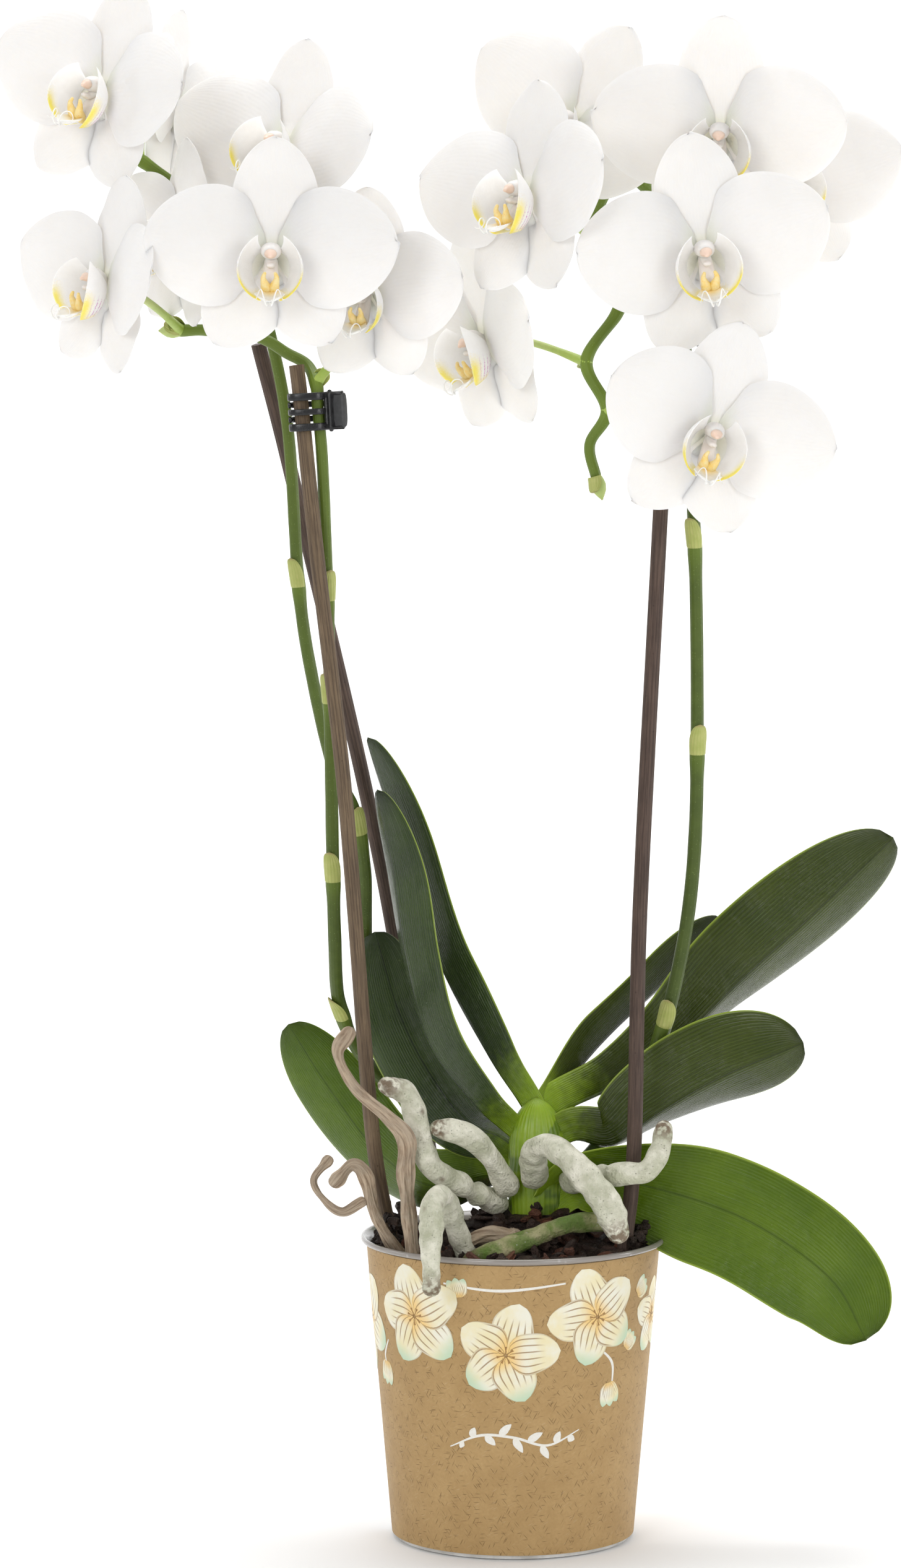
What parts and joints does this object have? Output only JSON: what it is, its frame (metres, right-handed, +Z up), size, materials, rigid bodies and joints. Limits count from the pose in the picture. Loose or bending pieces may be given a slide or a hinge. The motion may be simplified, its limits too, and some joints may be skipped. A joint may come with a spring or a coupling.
{
  "type": "potted moth orchid",
  "caption": "Live moth orchid with white flowers on clipped, stick-supported spikes above strap leaves, in a small tapered pot with a printed kraft sleeve.",
  "frame": {"origin": "centre of the pot's flat underside", "axes": "+Z up along the pot's axis, -Y towards the side the flowers face, +X to the right seen from there"},
  "size_m": [0.2667, 0.1258, 0.4558],
  "materials": {
    "pot_plastic": "thin translucent grey pot plastic, glossy",
    "label_kraft": "brown kraft paper with a pale printed flower border",
    "bark": "damp dark composted bark",
    "crown_green": "bright yellow-green living leaf sheaths",
    "leaf_green": "living leaf, dark green with a waxy sheen",
    "spike_green": "living green flower stem, satin",
    "stick_brown": "dark stained thin wooden stick, matt",
    "stick_tan": "lighter brown thin wooden stick, matt",
    "root_grey": "silvery grey-green aerial root, matt",
    "dry_tan": "dry papery beige root and bark",
    "petal_white": "living white petal with a soft sheen",
    "lip_yellow": "white lip shaded yellow with fine purple stripes",
    "clip_black": "glossy black moulded plastic"
  },
  "bodies": {
    "plant": {"pot": "pot_plastic", "label_sleeve": "label_kraft", "growing_medium": "bark", "stem_crown": "crown_green", "leaf_left_low": "leaf_green", "leaf_left_broad": "leaf_green", "leaf_left_inner": "leaf_green", "leaf_left_tall": "leaf_green", "leaf_right_back": "leaf_green", "leaf_right_high": "leaf_green", "leaf_right_mid": "leaf_green", "leaf_right_hanging": "leaf_green", "spike_left_front": "spike_green", "spike_left_back": "spike_green", "spike_right": "spike_green", "stick_dark_left": "stick_brown", "stick_dark_right": "stick_brown", "stick_tan": "stick_tan", "root_front": "root_grey", "root_right": "root_grey", "root_upright": "root_grey", "root_left": "root_grey", "root_over_rim": "root_grey", "root_mossy": "root_grey", "dry_root_tall": "dry_tan", "dry_root_outer": "dry_tan", "dry_root_curl": "dry_tan", "bark_chip_top": "dry_tan", "flower_01_tepals": "petal_white", "flower_01_lip": "lip_yellow", "flower_02_tepals": "petal_white", "flower_02_lip": "lip_yellow", "flower_03_tepals": "petal_white", "flower_03_lip": "lip_yellow", "flower_04_tepals": "petal_white", "flower_04_lip": "lip_yellow", "flower_05_tepals": "petal_white", "flower_05_lip": "lip_yellow", "flower_06_tepals": "petal_white", "flower_06_lip": "lip_yellow", "flower_07_tepals": "petal_white", "flower_07_lip": "lip_yellow", "flower_08_tepals": "petal_white", "flower_08_lip": "lip_yellow", "flower_09_tepals": "petal_white", "flower_09_lip": "lip_yellow", "flower_10_tepals": "petal_white", "flower_10_lip": "lip_yellow", "flower_11_tepals": "petal_white", "flower_11_lip": "lip_yellow", "flower_12_tepals": "petal_white", "flower_12_lip": "lip_yellow", "flower_13_tepals": "petal_white", "flower_13_lip": "lip_yellow", "flower_14_tepals": "petal_white", "flower_14_lip": "lip_yellow", "clip_left_back_jaw": "clip_black", "clip_right_back_jaw": "clip_black"},
    "clip_left_jaw": {"clip_left_front_jaw": "clip_black"},
    "clip_right_jaw": {"clip_right_front_jaw": "clip_black"}
  },
  "joints": [
    {"name": "clip_left_jaw_hinge", "type": "hinge", "parent": "plant", "child": "clip_left_jaw", "pos_m": [-0.0532, -0.0142, 0.333], "axis": [-0.0523, 0, 0.9986], "range_deg": [0, 35], "stiffness_Nm_per_rad": 0.02, "springref_deg": -17.19},
    {"name": "clip_right_jaw_hinge", "type": "hinge", "parent": "plant", "child": "clip_right_jaw", "pos_m": [0.0526, -0.016, 0.3575], "axis": [-0.0349, 0, 0.9994], "range_deg": [0, 35], "stiffness_Nm_per_rad": 0.02, "springref_deg": -17.19}
  ]
}
